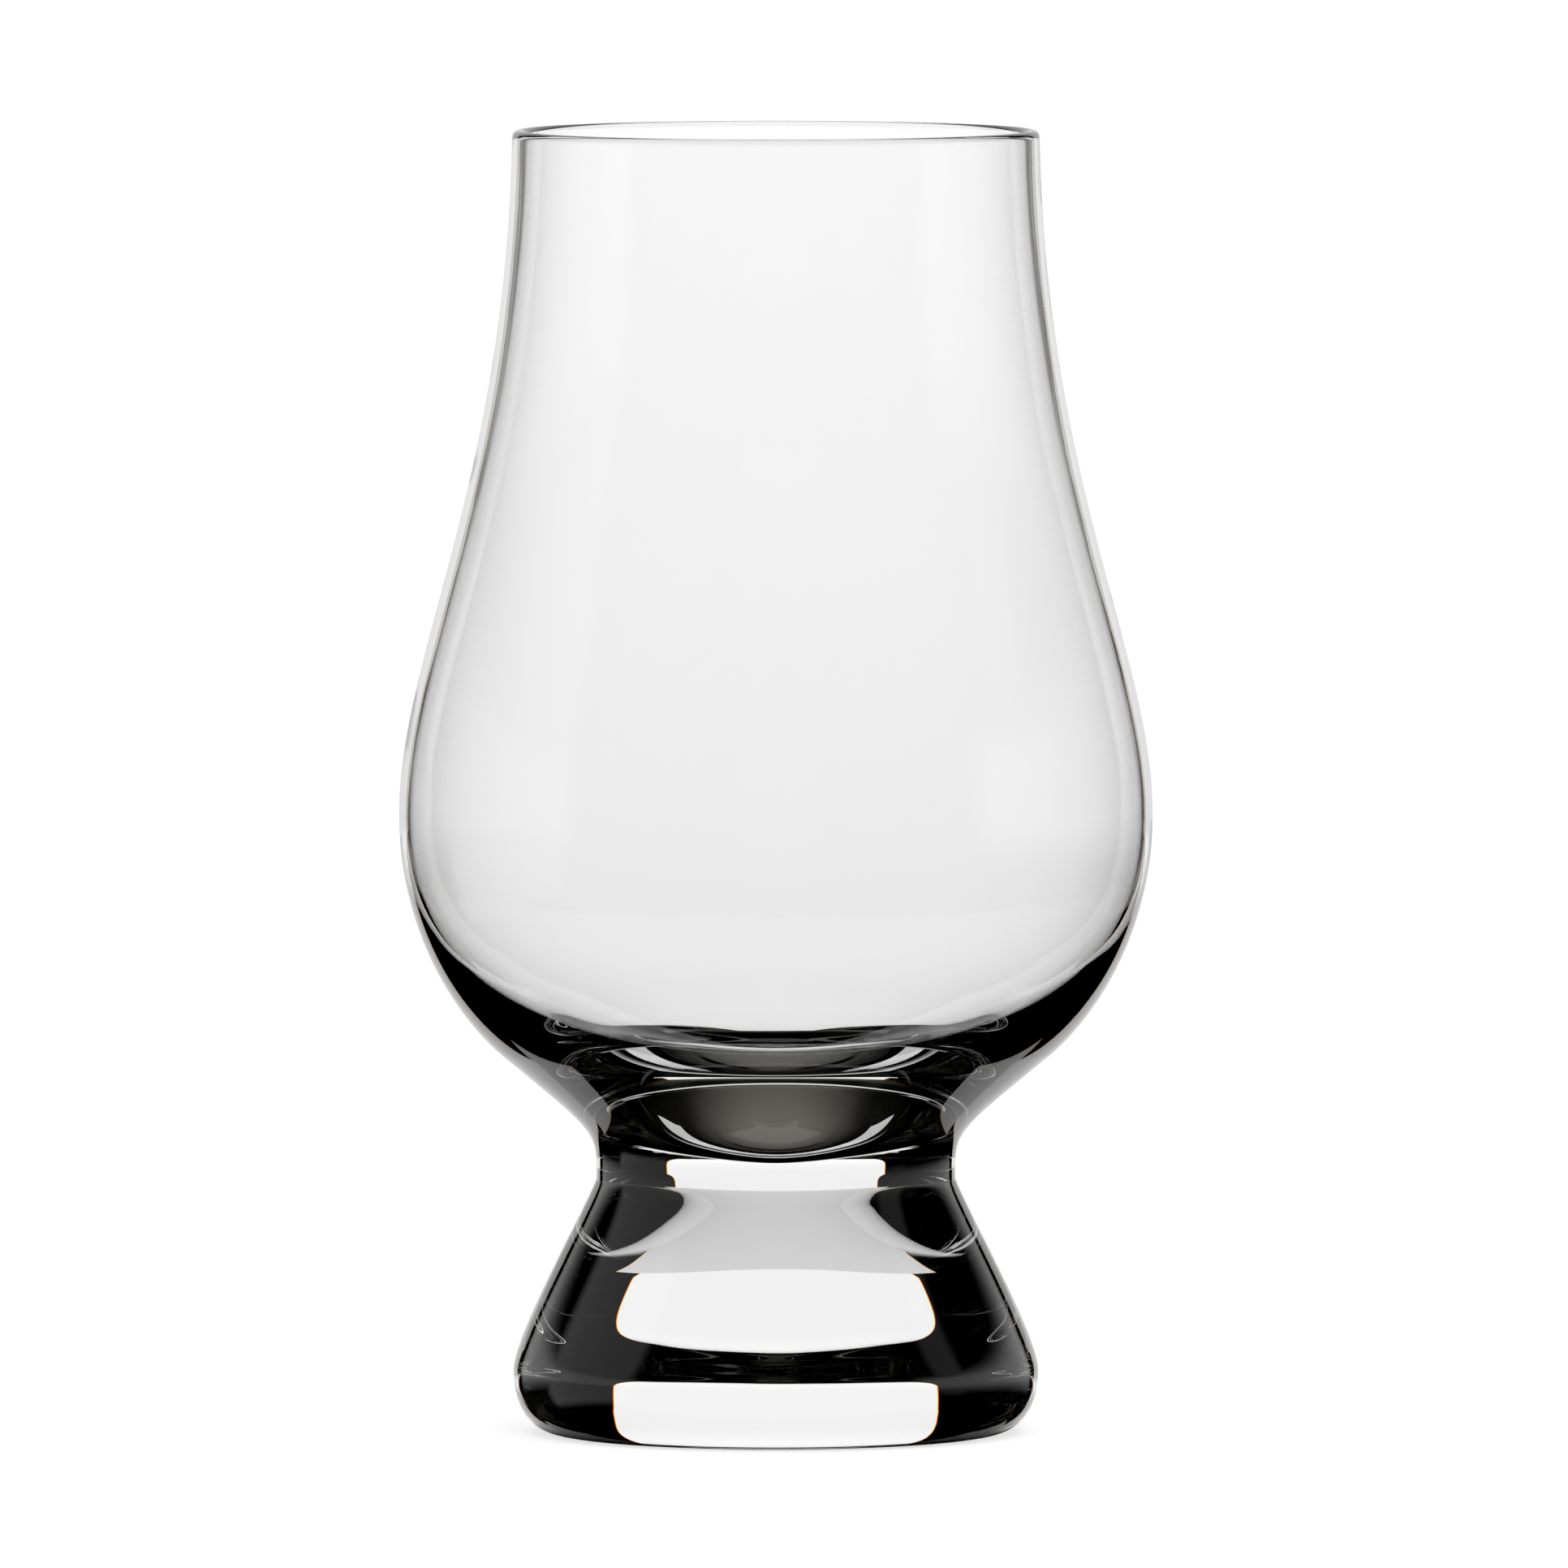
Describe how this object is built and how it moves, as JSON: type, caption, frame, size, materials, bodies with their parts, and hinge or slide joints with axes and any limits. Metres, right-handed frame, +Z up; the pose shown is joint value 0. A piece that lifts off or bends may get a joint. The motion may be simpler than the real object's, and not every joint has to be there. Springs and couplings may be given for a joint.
{
  "type": "whisky nosing glass",
  "caption": "Clear tulip-shaped nosing glass: a thin blown bowl that narrows to the rim, fused onto a short solid flared foot.",
  "frame": {"origin": "centre of the foot in the plane of the table that the glass stands on", "axes": "+Z up along the axis of the glass, from the foot to the rim; the glass is round, so +X and +Y are any two square directions"},
  "size_m": [0.0666, 0.0666, 0.115],
  "materials": {
    "bowl_glass": "fire-polished, clear",
    "foot_glass": "fire-polished, clear"
  },
  "bodies": {
    "root": {"bowl": "bowl_glass", "foot": "foot_glass"}
  },
  "joints": []
}
